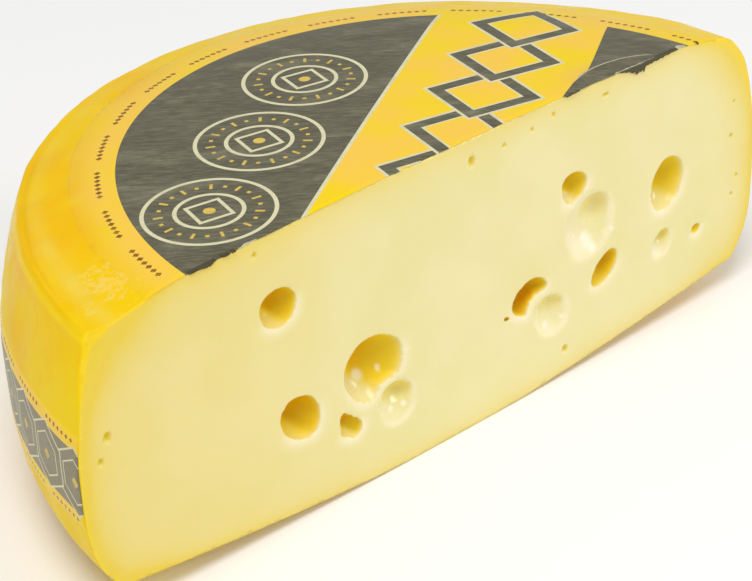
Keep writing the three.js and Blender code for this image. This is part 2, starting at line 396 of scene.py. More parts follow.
def coat_relief(points):
    """How far the wax stands out from the plain wheel, in millimetres."""
    radius, height = radius_at(points), points[:, 2]
    shoulder = rise(radius, 128, 146) * rise(height, 60, 100)
    dents = 0.45 * noise_at(points, 48, 1) + 0.22 * noise_at(points, 19, 2)
    ripples = 0.1 * noise_at(points, 7.5, 3)
    across = past_seam(points)
    inner, outer = grooves_at(points, across)
    uneven = SEAM["rise"] * (0.9 + 0.5 * noise_at(points, 24, 4))
    ridge = bump(across - SEAM["ridge"], SEAM["width"]) * (1 - 0.8 * rise(points[:, 0], -50, 10))
    seam = uneven * (ridge - 0.5 * inner - 0.15 * outer)
    loose = rise(height, 10, 30) * rise(radius, 118, 150)
    return loose * (dents + ripples * (1 + shoulder)) + shoulder * seam


def worn_far_corner(points):
    """How far the coat's upper edge is worn down where the right end of the cut begins."""
    over = (points[:, [0, 2]] - FAR_CORNER["point"]) @ FAR_CORNER["facing"]
    return blunt(over, FAR_CORNER["softness"]) * rise(over, -6, -1) * (1 - rise(points[:, 1], 12, 60))


def chipped(points):
    """The points with the broken corner's facet pressed into them, and which those are."""
    over = (points - CHIP_POINT) @ CHIP_FACING
    over = over + 0.35 * noise_at(points, 5, 11)
    return points - np.clip(over, 0, None)[:, None] * CHIP_FACING, over > 0


# ---- Cut face: height of the paste behind the knife's plane -------------------------------------

LIP = dict(drop=0.3, reach=1.2)
DIMPLE_SOFTNESS = 0.3
MOUTH_ROUNDING = 5.0  # degrees over which a drawn mouth's corners are rounded
MERGE = 5  # the higher, the sharper the ridge where two dimples meet


def in_space(plane):
    """Points of the cut's plane, (x, z), as points in space."""
    return np.insert(plane, 1, 0, axis=1)


def middle_of(shape):
    return np.array([shape["x"], shape["z"]])


def toward(points, shape):
    """Distance and direction of plane points from an eye's middle."""
    across, up = (points - middle_of(shape)).T
    return np.hypot(across, up), np.arctan2(up, across)


def plain_mouth(shape, angle):
    """How far the eye's inside, an uneven ellipse, is from its middle in each direction."""
    local = angle - math.radians(shape["turn"])
    plain = 1 / np.hypot(np.cos(local) / shape["wide"], np.sin(local) / shape["tall"])
    return plain * (1 + 0.014 * np.sin(3 * angle + shape["x"]) + 0.01 * np.sin(5 * angle + shape["z"]))


@functools.cache
def drawn_mouth(outline, x, z):
    """Directions from an eye's middle and the drawn mouth's distance in each, its corners rounded."""
    offset = np.array(outline) - (x, z)
    angle = np.arctan2(offset[:, 1], offset[:, 0])
    order = np.argsort(angle)
    every = np.radians(np.arange(-180, 180, 1.0))
    radius = np.interp(every, angle[order], np.hypot(*offset[order].T), period=2 * math.pi)
    spread = bump(np.arange(-15, 16), MOUTH_ROUNDING)
    padded = np.concatenate([radius[-15:], radius, radius[:15]])
    return every, np.convolve(padded, spread / spread.sum(), "valid")


def mouth(shape, angle):
    """How far the eye's mouth is from its middle in each direction."""
    if shape["outline"] is None:
        return plain_mouth(shape, angle)
    every, radius = drawn_mouth(tuple(shape["outline"]), shape["x"], shape["z"])
    return np.interp(angle, every, radius, period=2 * math.pi)


def even_angles(shape, count, offset=0.0):
    """Directions from an eye's middle that go round its mouth in even steps."""
    angle = np.linspace(-math.pi, math.pi, 721)
    length = travelled(mouth(shape, angle)[:, None] * heading(angle))
    return np.interp((np.arange(count) + offset) / count * length[-1], length, angle)


def rim_of(shape, spacing):
    """The mouth as plane points, anticlockwise."""
    count = max(12, int(math.pi * (shape["wide"] + shape["tall"]) / spacing))
    angle = even_angles(shape, count)
    return middle_of(shape) + heading(angle) * mouth(shape, angle)[:, None]


def share(points, shape):
    """Each point's distance from the eye's middle as a share of the mouth's."""
    distance, angle = toward(points, shape)
    return distance / mouth(shape, angle)


def past_rim(points, shape):
    """Distance outside an eye's mouth, below 0 inside it."""
    side = np.where(share(points, shape) < 1, -1, 1)
    return side * distance_to(points, rim_of(shape, 1.0))


def ball(shape):
    """Reach, middle and swelling of the ellipsoid whose mouth on the cut an eye is."""
    half = (shape["wide"] + shape["tall"]) / 2
    reach = (half**2 + shape["depth"] ** 2) / (2 * shape["depth"])
    middle = shape["depth"] - reach
    return reach, middle, 1 / math.sqrt(1 - (middle / reach) ** 2)


def lip(distance):
    """The knife drags the paste a little into each mouth, so the rim is round."""
    return LIP["drop"] * np.exp(-np.clip(distance, 0, None) / LIP["reach"])


def dimple_depth(points, shape):
    softness = DIMPLE_SOFTNESS * min(1, shape["depth"])
    return blunt(shape["depth"] * (1 - share(points, shape) ** 2), softness)


def face_depth(points):
    """How far the paste lies behind the plane of the cut, outside the deep eyes."""
    space = in_space(points)
    depth = 0.1 * noise_at(space, 42, 21) + 0.02 * noise_at(space, 9, 22)
    dimples = np.array([dimple_depth(points, shape) for shape in DIMPLES + FAINT_DIMPLES])
    depth = depth + (dimples**MERGE).sum(0) ** (1 / MERGE)
    for shape in DEEP_EYES:
        depth = depth + lip(past_rim(points, shape))
    for shape in PIT_EYES:
        depth = depth + 0.4 * lip(3 * past_rim(points, shape))
    return depth


def rings_in(shape, around, down):
    """Plane points of an eye's inside, and where each of them goes in space."""
    reach, middle, swell = ball(shape)
    start = math.acos(middle / reach)
    centre = middle_of(shape)
    plane, space = [], []
    for k in range(down + 1):
        way_in = k / down
        tilt = start + (math.pi - start) * way_in
        count = 1 if k == down else max(6, around if way_in < 0.7 else around // 2)
        angle = even_angles(shape, count, 0.5 * (k % 2))
        way = heading(angle)
        edge = mouth(shape, angle)
        round_out = rise(way_in, 0, 0.9)
        inner = edge * (1 - round_out) + plain_mouth(shape, angle) * round_out
        spread = centre + way * (inner * swell * math.sin(tilt))[:, None]
        rim = face_depth(centre + way * edge[:, None])
        deep = middle - reach * math.cos(tilt)
        y = rim + deep * (1 - rim / shape["depth"])
        wobble = 0.12 * noise_at(np.insert(spread, 1, deep, axis=1), 4, 31) * min(1, shape["wide"] / 5)
        plane.append(centre + way * (edge * (1 - way_in))[:, None])
        space.append(points_of(spread[:, 0], y + wobble * (k > 0), spread[:, 1]))
    return np.concatenate(plane), np.concatenate(space)


FACE_SPACING = 1.9
FINE_SPACING = 0.9
RIND_LOOPS = (0.4, 0.8, 1.3, 2.0, 3.0, 4.4)
RIM_LOOPS = (0.25, 0.6, 1.1, 1.8, 2.7, 3.8)
# Where the coat ends at the left upper corner of the cut, as (x, z)
SMEARED = np.array([
    (-162.2, 91.0), (-159.4, 98.7), (-157.7, 102.4), (-155.7, 105.9), (-151.4, 109.1),
    (-146.8, 111.5), (-142.6, 113.7), (-137.4, 114.9),
])
SMEARED_ROWS = (-1.2, -0.6, 0, 0.6)  # how far over that line rows of extra points lie


def free_face_points(outline):
    """Plane points of the cut outside the deep eyes: a grid, finer near the eyes."""
    grid = hexagonal(outline.min(0), outline.max(0), FACE_SPACING)
    near = np.full(len(grid), 1e9)
    groups = []
    for shape in DIMPLES:
        half = max(shape["wide"], shape["tall"])
        near = np.minimum(near, toward(grid, shape)[0] - half)
        middle, size = middle_of(shape), half + 2
        patch = hexagonal(middle - size, middle + size, FINE_SPACING)
        groups.append(patch[toward(patch, shape)[0] <= size])
    groups.insert(0, grid[near > 2])
    for shape in DEEP_EYES:
        groups += [inset(rim_of(shape, 1.0), -d) for d in RIM_LOOPS]
    free = np.concatenate(groups)
    free = free[inside(free, inset(outline, 0.3))]
    for shape in DEEP_EYES:
        free = free[past_rim(free, shape) > 0.2]
    for shape in PIT_EYES:
        free = free[past_rim(free, shape) > 0.35]
    return free


def smeared_points(outline):
    """Rows of plane points along the smeared coat's end, which give its colour a clean edge."""
    x = np.arange(SMEARED[1, 0], SMEARED[-1, 0], 0.6)
    rows = [points_of(x, np.interp(x, *SMEARED.T) + step) for step in SMEARED_ROWS]
    return [row[inside(row, inset(outline, 0.3))] for row in rows]


def cut_face(outline):
    """Points in space, triangles and carried numbers of the cut, whose edge is the given outline."""
    free = [free_face_points(outline)]
    free += [inset(outline, d) for d in RIND_LOOPS]
    free += smeared_points(outline)
    free += [inset(rim_of(shape, 0.8), -0.3) for shape in PIT_EYES]
    free = np.concatenate(free)
    fade = rise(distance_to(free, outline), 0, 1.5)
    plane = [outline, free]
    space = [in_space(outline), np.insert(free, 1, face_depth(free) * fade, axis=1)]
    for shape in DEEP_EYES + PIT_EYES:
        large = shape["wide"] > 4
        around = int(math.pi * (shape["wide"] + shape["tall"]) / 0.9) if large else 14
        flat, solid = rings_in(shape, around, 18 if large else 6)
        plane.append(flat)
        space.append(solid)
    made, faces, source = triangles(np.concatenate(plane), [np.arange(len(outline))])
    faces = faces[inside(made[faces].mean(1), outline)]
    space = np.concatenate(space)[source]
    return space, faces, face_values(made, space, outline)


def unit_offset(points, shape):
    """Offset from an eye's middle, as shares of its half sizes."""
    return (points[:, 0] - shape["x"]) / shape["wide"], (points[:, -1] - shape["z"]) / shape["tall"]


def rind_at(plane, edge):
    """How yellow the paste has ripened towards the coat: most at the ends of the cut, above all
    in their upper corners."""
    x, z = plane.T
    ends = rise(np.abs(x), 115, 155)
    upper = ends * rise(z, 70, 112)
    uneven = 1 + 0.35 * noise_at(in_space(plane), 26, 61)
    strength = 0.5 + 0.35 * ends + 0.3 * upper
    width = (3.6 + 3.4 * rise(z, 60, 108) + 2 * ends + 5 * upper) * uneven
    towards_ends = 0.33 * rise(-x, 10, 130) + 0.08 * rise(-x, 120, 155) + 0.12 * rise(x, 118, 156)
    return np.clip(strength * np.exp(-np.clip(edge - 0.8, 0, None) / width) + towards_ends, 0, 1)


def coat_edge_at(plane, edge):
    """The coat's own thickness, a bright line down the left end of the cut and round both upper
    corners, wide at the right one, and the coat smeared over the broken corner."""
    x, z = plane.T
    right = rise(x, 130, 148) * rise(z, 74, 100)
    seen = np.max([rise(z, 96, 110) * rise(np.abs(x), 120, 132), rise(-x, 130, 152), right], axis=0)
    line = seen * (1 - 0.35 * right) * (1 - rise(edge, 0.3 + 0.9 * right, 1.2 + 3.6 * right))
    over = z - np.interp(x, *SMEARED.T)
    return np.maximum(line, rise(over, -0.3, 0.4) * (x < SMEARED[-1, 0]))


def painted_shade_at(plane, space):
    """Painted shade in the eyes: a deep colour, most behind their upper left rims, little on their
    lower walls, which painted light keeps pale. The dimples' hollows get painted shade too, most
    in their upper parts.
    """
    painted_shade = np.zeros(len(plane))
    for shape in DEEP_EYES + PIT_EYES:
        across, up = unit_offset(space, shape)
        low = rise(-0.65 * up - 0.75 * across, 0.05, 0.65)
        far = np.hypot(across + 0.45, 1.2 * (up - 0.4))
        sunk = 1 - np.exp(-np.clip(space[:, 1] - 0.3, 0, None) / (0.16 * shape["depth"]))
        amount = shape["painted_shade"] * sunk * (1 - shape["lit"] * low) * (1 - 0.45 * rise(far, 0.3, 1.6))
        painted_shade = np.where(share(plane, shape) < 1.01, amount, painted_shade)
    for shape in DIMPLES:
        across, up = unit_offset(plane, shape)
        shade = shape["painted_shade"] * rise(0.8 * up + 0.2 * across, -1.0, 0.3)
        shade = shade * (1 - rise(share(plane, shape), 0.85, 1.0))
        painted_shade = np.where(share(plane, shape) < 1, np.maximum(painted_shade, shade), painted_shade)
    return painted_shade


def painted_light_at(plane):
    """Painted light on the paste: pale halos below and right of the deep eyes' mouths, and pale
    paste round and low in the wide dishes, which are every other dimple."""
    pale = np.zeros(len(plane))
    for shape in DEEP_EYES:
        across, up = unit_offset(plane, shape)
        low = rise(0.35 * across - 0.9 * up, -0.4, 0.8)
        halo = 0.7 * low * bump(np.clip(past_rim(plane, shape) - 0.3, 0, None), 2.6)
        pale = np.maximum(pale, halo * (share(plane, shape) > 1.0))
    for shape in DIMPLES[::2]:
        across, up = unit_offset(plane, shape)
        out = share(plane, shape)
        rim = bump(out - 0.95, 0.14) * rise(0.7 * across - 0.7 * up, -0.35, 0.5)
        lit = shape["lit"] * rise(-0.6 * across - 0.8 * up, 0.05, 0.8) * (1 - rise(out, 0.8, 1.05))
        pale = np.maximum(pale, np.maximum(0.6 * rim, 0.85 * lit))
    return pale * (0.85 + 0.4 * noise_at(in_space(plane), 6, 63))


def painted_glint_at(space):
    """Painted highlights: small pale spots on the paste."""
    spots = [bump(np.hypot(space[:, 0] - x, space[:, 2] - z), reach) for x, z, reach in PAINTED_GLINTS]
    return np.max(spots, axis=0)


def face_values(plane, space, outline):
    """Numbers that the cut carries to the paste's material."""
    edge = distance_to(plane, outline)
    return {
        "painted_glint": painted_glint_at(space),
        "rind": rind_at(plane, edge),
        "coat_edge": coat_edge_at(plane, edge),
        "painted_shade": painted_shade_at(plane, space),
        # Painted light: pale halos by the eyes and lit lower parts of the dishes.
        "pale": painted_light_at(plane),
        "wet": np.max([share(plane, shape) < 1 for shape in DEEP_EYES + DIMPLES], axis=0),
    }


# ---- Materials --------------------------------------------------------------------------------


def linear(colour):
    """An sRGB colour, 0 to 255, as the linear one that the shader takes."""
    parts = [c / 255 for c in colour]
    return tuple(p / 12.92 if p <= 0.04045 else ((p + 0.055) / 1.055) ** 2.4 for p in parts) + (1.0,)


class Shader:
    """One material's nodes, made one call at a time."""

    def __init__(self, name, roughness, **settings):
        self.material = bpy.data.materials.new(name)
        self.material.use_nodes = True
        self.tree = self.material.node_tree
        self.main = self.tree.nodes["Principled BSDF"]
        self.main.inputs["Roughness"].default_value = roughness
        for key, value in settings.items():
            self.main.inputs[key.replace("_", " ")].default_value = value
        self.place = self.tree.nodes.new("ShaderNodeTexCoord").outputs["Object"]

    def link(self, value, socket):
        if isinstance(value, bpy.types.NodeSocket):
            self.tree.links.new(value, socket)
        else:
            socket.default_value = value

    def brushed(self, turn, length):
        """Places drawn out along one direction from above, for streaks."""
        node = self.tree.nodes.new("ShaderNodeMapping")
        node.vector_type = "TEXTURE"
        self.link(self.place, node.inputs["Vector"])
        node.inputs["Rotation"].default_value = (0, 0, math.radians(turn))
        node.inputs["Scale"].default_value = (length, 1.0, 1.0)
        return node.outputs["Vector"]

    def noise(self, size_mm, detail=3.0, roughness=0.5, distortion=0.0, vector=None):
        node = self.tree.nodes.new("ShaderNodeTexNoise")
        self.link(vector or self.place, node.inputs["Vector"])
        node.inputs["Scale"].default_value = 1 / (size_mm * MM)
        node.inputs["Detail"].default_value = detail
        node.inputs["Roughness"].default_value = roughness
        node.inputs["Distortion"].default_value = distortion
        return node.outputs["Fac"]

    def carried(self, name):
        node = self.tree.nodes.new("ShaderNodeAttribute")
        node.attribute_name = name
        return node.outputs["Fac"]

    def ramp(self, value, low, high, start=0.0, end=1.0):
        node = self.tree.nodes.new("ShaderNodeMapRange")
        node.interpolation_type = "SMOOTHSTEP"
        self.link(value, node.inputs["Value"])
        for key, number in zip(("From Min", "From Max", "To Min", "To Max"), (low, high, start, end)):
            node.inputs[key].default_value = number
        return node.outputs["Result"]

    def maths(self, operation, a, b, clamp=False):
        node = self.tree.nodes.new("ShaderNodeMath")
        node.operation = operation
        node.use_clamp = clamp
        self.link(a, node.inputs[0])
        self.link(b, node.inputs[1])
        return node.outputs[0]

    def mix(self, share, a, b):
        node = self.tree.nodes.new("ShaderNodeMix")
        node.data_type = "RGBA"
        self.link(share, node.inputs[0])
        self.link(a, node.inputs[6])
        self.link(b, node.inputs[7])
        return node.outputs[2]

    def bump(self, height, distance_mm, strength, after=None):
        node = self.tree.nodes.new("ShaderNodeBump")
        node.inputs["Strength"].default_value = strength
        node.inputs["Distance"].default_value = distance_mm * MM
        self.link(height, node.inputs["Height"])
        if after is not None:
            self.link(after, node.inputs["Normal"])
        self.link(node.outputs["Normal"], self.main.inputs["Normal"])
        return node.outputs["Normal"]

    def creases(self):
        return self.bump(self.noise(14, 3.0, 0.5, 0.8), 0.25, 0.5)

    def colour(self, value):
        self.link(value, self.main.inputs["Base Color"])

    def roughness(self, value):
        self.link(value, self.main.inputs["Roughness"])

    def specular(self, value):
        self.link(value, self.main.inputs["Specular IOR Level"])


PASTE = linear((235, 224, 158))
PASTE_PALE = linear((238, 227, 168))
PASTE_LIT = linear((252, 240, 208))
PASTE_PAINTED_GLINT = linear((255, 252, 236))
PASTE_AT_RIND = linear((236, 206, 62))
PASTE_COAT_EDGE = linear((246, 212, 30))
EYE_PAINTED_SHADE_GOLD = linear((240, 212, 52))
EYE_PAINTED_SHADE_OCHRE = linear((226, 173, 0))
EYE_PAINTED_SHADE_ORANGE = linear((246, 166, 0))
WAX_YELLOW = linear((247, 212, 12))
WAX_DEEP = linear((246, 192, 4))
WAX_PAINTED_SHEEN = linear((243, 210, 74))
WAX_SCUFFED = linear((247, 212, 96))
WAX_GROOVE = linear((236, 187, 2))
WAX_GATHERED = linear((250, 213, 0))
WAX_CHIPPED = linear((244, 206, 16))
WAX_CHIPPED_PALE = linear((247, 214, 44))
FILM_YELLOW = linear((250, 203, 74))
PRINT_DARK = linear((84, 81, 61))
PRINT_WORN = linear((136, 132, 108))
PRINT_IN_PAINTED_SHADE = linear((72, 64, 34))
SIDE_DARK = linear((130, 118, 84))
PRINT_CREAM = linear((226, 221, 182))
CREAM_WORN = linear((202, 196, 156))
PRINT_GOLD = linear((232, 196, 84))
GOLD_WORN = linear((178, 154, 84))
PRINT_BROWN = linear((122, 80, 12))
BROWN_WORN = linear((196, 146, 36))
TORN_EDGE = linear((206, 198, 166))
FLOOR_WHITE = linear((250, 250, 250))


def paste_material():
    s = Shader("paste", 0.4, Subsurface_Weight=0.2, Subsurface_Scale=0.002)
    s.main.inputs["Subsurface Radius"].default_value = (1.0, 0.7, 0.25)
    body = s.mix(s.ramp(s.noise(38, 2.0), 0.35, 0.65), PASTE, PASTE_PALE)
    body = s.mix(s.carried("rind"), body, PASTE_AT_RIND)
    body = s.mix(s.carried("coat_edge"), body, PASTE_COAT_EDGE)
    # Painted light: the paste pales to a lit colour in halos and lit parts of the dishes.
    body = s.mix(s.carried("pale"), body, PASTE_LIT)
    # Painted shade: the eyes and the dimples' hollows deepen to gold, ochre and orange.
    painted_shade = s.carried("painted_shade")
    body = s.mix(s.ramp(painted_shade, 0.0, 0.5), body, EYE_PAINTED_SHADE_GOLD)
    body = s.mix(s.ramp(painted_shade, 0.35, 0.95), body, EYE_PAINTED_SHADE_OCHRE)
    body = s.mix(s.ramp(painted_shade, 0.9, 1.25), body, EYE_PAINTED_SHADE_ORANGE)
    # Painted highlights: the small pale spots.
    s.colour(s.mix(s.ramp(s.carried("painted_glint"), 0.2, 0.95, 0.0, 0.55), body, PASTE_PAINTED_GLINT))
    s.specular(s.ramp(painted_shade, 0.0, 0.4, 0.42, 0.04))
    dull = s.ramp(s.noise(6, 3.0), 0.3, 0.7, 0.28, 0.42)
    s.roughness(s.maths("SUBTRACT", dull, s.maths("MULTIPLY", s.carried("wet"), 0.14)))
    coarse = s.bump(s.noise(5, 3.0, 0.55), 0.12, 0.5)
    s.bump(s.noise(0.8, 2.0), 0.03, 0.5, coarse)
    return s.material


def chip_material():
    s = Shader("chipped_coat", 0.4, Specular_IOR_Level=0.2)
    s.colour(s.mix(s.ramp(s.noise(3), 0.35, 0.65), WAX_CHIPPED, WAX_CHIPPED_PALE))
    s.bump(s.noise(2, 3.0), 0.15, 0.7)
    return s.material


def wax_body(s):
    """The coat's colour: two yellows in clouds, paler in streaks and patches of painted sheen,
    flecked where scuffed, deep in the fold's grooves. Where it is torn off, the paste is bare."""
    cloud = s.ramp(s.noise(45, 3.0), 0.36, 0.64, -0.3, 0.5)
    body = s.mix(s.maths("ADD", cloud, s.carried("warm"), True), WAX_YELLOW, WAX_DEEP)
    # Painted sheen: pale streaks, and the sheen patches that the points carry.
    streak = s.ramp(s.noise(26, 4.0, 0.55, 1.2), 0.5, 0.74, 0.0, 0.2)
    body = s.mix(s.maths("ADD", streak, s.carried("painted_sheen"), True), body, WAX_PAINTED_SHEEN)
    speckle = s.noise(2.8, 6.0, 0.72, 0.3)
    limit = s.ramp(s.carried("scuff"), 0.0, 1.0, 0.84, 0.25)
    above = s.maths("SUBTRACT", speckle, limit)
    body = s.mix(s.ramp(above, 0.0, 0.1, 0.0, 0.85), body, WAX_SCUFFED)
    body = s.mix(s.carried("groove"), body, WAX_GROOVE)
    body = s.mix(s.carried("gathered"), body, WAX_GATHERED)
    return s.mix(s.carried("bare"), body, PASTE)


def wax_material():
    s = Shader("wax_coat", 0.3, Specular_IOR_Level=0.04)
    s.colour(wax_body(s))
    s.roughness(s.ramp(s.noise(18, 4.0), 0.35, 0.65, 0.24, 0.42))
    swell = s.bump(s.noise(11, 3.0, 0.5, 0.6), 0.45, 0.6)
    s.bump(s.noise(1.6, 3.0), 0.05, 0.5, swell)
    return s.material


def film(name, body, worn, specular=0.25):
    """Printed plastic film: brushed by fine streaks, with small creases."""
    s = Shader(name, 0.36, Specular_IOR_Level=specular)
    streaks = s.noise(0.9, 4.0, 0.65, vector=s.brushed(-42, 8.0))
    clouds = s.noise(9, 4.0, 0.65, vector=s.brushed(-42, 2.5))
    streaked, clouded = s.ramp(streaks, 0.36, 0.8, 0.0, 0.7), s.ramp(clouds, 0.45, 0.75, 0.0, 0.45)
    s.colour(s.mix(s.maths("ADD", streaked, clouded, True), body, worn))
    s.roughness(s.ramp(streaks, 0.3, 0.7, 0.3, 0.48))
    s.bump(streaks, 0.05, 0.5, s.creases())
    return s.material


def yellow_film_material():
    """The unprinted film: clear over the coat, and one with it at its outer edge."""
    s = Shader("film_yellow", 0.32, Specular_IOR_Level=0.14)
    body = s.mix(s.ramp(s.noise(40, 2.0), 0.36, 0.62), FILM_YELLOW, WAX_YELLOW)
    s.colour(s.mix(s.carried("fringe"), body, wax_body(s)))
    creases = s.creases()
    s.bump(s.noise(1.2, 3.0), 0.04, 0.5, creases)
    return s.material


# ---- The cheese ------------------------------------------------------------------------------

COLUMNS = 250
LEFT_END = dict(part=0.012, columns=9)  # the last part of the turn, where columns are denser
PASTE_FACE, WAX_FACE, CHIP_FACE = range(3)
# Patches of the left shoulder, seen from above: their middles and how far they reach
RUBBED = dict(x=-134, y=19, along=15, back=23)
DEEP_YELLOW = dict(x=-124, y=49, along=14, back=20)
# Stretches of the cut's upper edge where the coat is torn off: from where to where each fades in,
# and then out
TORN_OFF = [(-117, -113, -44, -38), (55, 58, 122, 126)]


def coat_surface():
    """Rows of points of the wax coat from one end of the cut round to the other."""
    profile = wheel_profile()
    first = np.arcsin(np.clip(INNERMOST / profile[:, 0], 0, 1))[:, None]
    even_part = 1 - LEFT_END["part"]
    dense = np.linspace(even_part, 1, LEFT_END["columns"] + 1)[1:]
    way = np.concatenate([np.linspace(0, even_part, COLUMNS), dense])
    turn = first + (math.pi - 2 * first) * way
    normal = normals_on(profile, turn)
    normal[:, [0, -1], 1] = 0
    plain = on_wheel(profile[:, :1], turn, profile[:, 1:])
    relief = coat_relief(plain.reshape(-1, 3)).reshape(turn.shape)
    relief[[0, -1]] = 0
    points = plain + normal * relief[..., None]
    worn = worn_far_corner(points.reshape(-1, 3)).reshape(turn.shape)
    points[..., [0, 2]] -= worn[..., None] * FAR_CORNER["facing"]
    points[:, [0, -1], 1] = 0
    resting = FLAT_SPOT_AT_CUT + points[..., 1] * math.tan(math.radians(LEAN))
    points[..., 2] = np.maximum(points[..., 2], resting)
    return points


def patch_at(points, patch):
    """1 in the middle of a patch seen from above, fading to 0 round it."""
    along = (points[:, 0] - patch["x"]) / patch["along"]
    return bump(np.hypot(along, (points[:, 1] - patch["y"]) / patch["back"]), 1)


def scuff_at(points, radius, deep):
    """How scuffed the coat is: most in one patch at the shoulder's left end."""
    shoulder = rise(radius, 120, 130) * rise(points[:, 2], 107, 110.5)
    patchy = 0.6 + 0.4 * rise(noise_at(points, 17, 74), -0.3, 0.3)
    return shoulder * (0.15 + 0.85 * patch_at(points, RUBBED) * patchy * (1 - 0.5 * deep))


def painted_sheen_at(points, radius, across):
    """Painted sheen on the coat, which pales it: most along the fold near the cut, some on the far
    rim and in slanted bands down the side."""
    x, y, height = points.T
    uneven = 0.75 + 0.5 * noise_at(points, 16, 71)
    near_cut = 1 - rise(y, 30, 80)
    along_fold = bump(across - 7.0 - 2.5 * near_cut, 3.0) * rise(height, 98, 106)
    bands = rise(noise_at(points_of(x, y, 2.6 * height - 0.8 * y), 58, 72), 0.05, 0.5)
    bands = bands * (1 - rise(height, 88, 102)) * rise(radius, 120, 150)
    far_rim = 0.9 * rise(x, -50, 30) * rise(radius, 128, 142) * rise(height, 100, 108)
    return np.clip(uneven * ((0.4 + 0.5 * near_cut) * along_fold + 0.3 * bands + far_rim), 0, 0.9)


def coat_values(points):
    """Numbers that the coat and the clear film over it carry to their materials. It is bare in
    front of the label, warm on the shoulder and in one patch of it, and has more wax gathered in
    the fold's outer groove."""
    x, y, height = points.T
    radius, across = radius_at(points), past_seam(points)
    deep = patch_at(points, DEEP_YELLOW)
    inner, outer = grooves_at(points, across)
    front = (1 - rise(y, 0.4, 2.4)) * rise(height, 100, 108)
    torn = [rise(x, a, b) * (1 - rise(x, c, d)) for a, b, c, d in TORN_OFF]
    return {
        "bare": 0.85 * front * np.max(torn, axis=0),
        "warm": 0.2 + 0.45 * rise(height, 98, 110) + 0.5 * deep,
        "groove": np.clip(inner * (0.85 + 0.6 * noise_at(points, 12, 73)), 0, 0.9),
        "gathered": np.clip(outer * (0.9 + 0.5 * noise_at(points, 12, 73)), 0, 0.95),
        "scuff": scuff_at(points, radius, deep),
        "painted_sheen": painted_sheen_at(points, radius, across),
    }


def build_cheese():
    surface = coat_surface()
    rows, columns = surface.shape[:2]
    skin = surface.reshape(-1, 3)
    index = np.arange(rows * columns).reshape(rows, columns)
    index[0], index[-1] = index[0, 0], index[-1, 0]
    skin_faces = [tuple(dict.fromkeys(f)) for f in zip(*cells(index))]
    edge = np.concatenate([index[:, 0], index[-2:0:-1, -1]])
    face_points, face_faces, carried = cut_face(skin[edge][:, [0, 2]])
    # The face's edge points are the coat's own, so the two close without a gap
    tied = {tuple(np.round(skin[i], 3)): i for i in edge}
    where = [tied.get(tuple(np.round(p, 3)), len(skin) + k) for k, p in enumerate(face_points)]
    used, faces = used_only(skin_faces + [tuple(where[i] for i in f) for f in face_faces])
    points, broken = chipped(np.concatenate([skin, face_points]))
    points, broken = points[used], broken[used]
    slots = [CHIP_FACE if all(broken[i] for i in f) else WAX_FACE for f in faces[:len(skin_faces)]]
    slots += [PASTE_FACE] * len(face_faces)
    values = coat_values(points)
    for key, numbers in carried.items():
        on_all = np.zeros(len(skin) + len(face_points))
        on_all[where] = numbers
        values[key] = on_all[used]
    materials = [paste_material(), wax_material(), chip_material()]
    piece = make_mesh("cheese_half", points, faces, materials, slots, values)
    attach(piece, "root")
    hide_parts("cheese")


# ---- Printed films -----------------------------------------------------------------------------

YELLOW, DARK, CREAM, GOLD, BROWN, TORN, SHADED_RAG = range(7)

# Top print, seen from above: a dark round field with a yellow band across it
FIELD = dict(x=4.3, y=-14.3, radius=121.0)
RIBBON = dict(x=2.7, y=0.0, turn=31.5, right=36.3, narrowing=0.048, left=35.0, border=1.4)
# Line figures: how far along the yellow band and across it each is, and how big
ROUNDELS = [(-60.0, 68.5, 23.5), (-7.5, 68.5, 23.5), (45.0, 68.5, 23.5)]
DIAMONDS = dict(along=(-20.0, 12.0, 44.0, 76.0, 108.0), radius=23.0)
LINE = 1.5
BARS = 22
MARK_STEPS = [3.0 * k for k in range(-3, 4)]  # where the small lozenges in a run are
MARK_SIZE = 1.3
RING_OF_MARKS = dict(radius=127.0, mean_oval=1.07, pitch=29.0)
CREASE = np.array([
    (57.5, 0.1), (60.4, 1.3), (67.5, 4.3), (73.1, 6.2), (77.7, 7.2), (82.5, 7.6), (88.0, 7.4), (94.1, 6.8),
    (99.8, 5.6), (104.6, 4.0), (108.1, 2.0),
])
CREASE_RISE = 1.5
FRONT_RISE = 0.3  # the share of that rise at the film's front edge
# How far behind the cut the film is torn off, by its distance along the cut
TORN_BACK = np.array([
    (56, 0), (66, -0.3), (82, -0.3), (90, 0), (106, 0.1), (112, 0), (118, -0.2), (126, 0),
])
FRAYED = [(-115, -103), (-94, -86), (84.5, 124)]  # where the print's torn front edge shows pale
TORN_TIPS = [(-90.0, 0.8, 2.4), (121.0, 2.3, 2.4)]  # where it shows widest, how wide, and its reach
# Rags that hang over the cut: how far each hangs down, by its distance along the cut
SCRAPS = [
    [(87.5, 0), (92, 1.0), (94.7, 2.4), (97, 3.6), (99.8, 3.6), (100.6, 1.5), (104, 1.1), (110, 0.7),
     (116, 0.4), (119, 0)],
    [(58.4, 0), (59.2, 0.5), (61, 0.4), (63, 0.2), (66, 0)],
    [(-115, 0), (-114, 0.3), (-110.6, 0.2), (-107.8, 0.8), (-105.3, 0.7), (-104.6, 0.2), (-103.4, 0)],
    [(-101, 0), (-99.6, 0.3), (-97.8, 0)],
    [(-97, 0), (-96, 0.2), (-95, 0)],
    [(129.4, 0), (130.0, 0.3), (130.6, 0)],
]
PRINT_SPACING = 3.2


def ellipse(x, y, radius, count=220):
    """A circle of the wheel, which from above is as oval as the wheel."""
    angle = np.arange(count) * 2 * math.pi / count
    return (x, y) + np.array([radius, radius * OVAL]) * heading(angle)


def turned(local, turn, centre):
    """Plane points turned by an angle in degrees and moved to a centre."""
    c, s = heading(math.radians(turn))
    return np.asarray(centre) + local @ np.array([[c, s], [-s, c]])


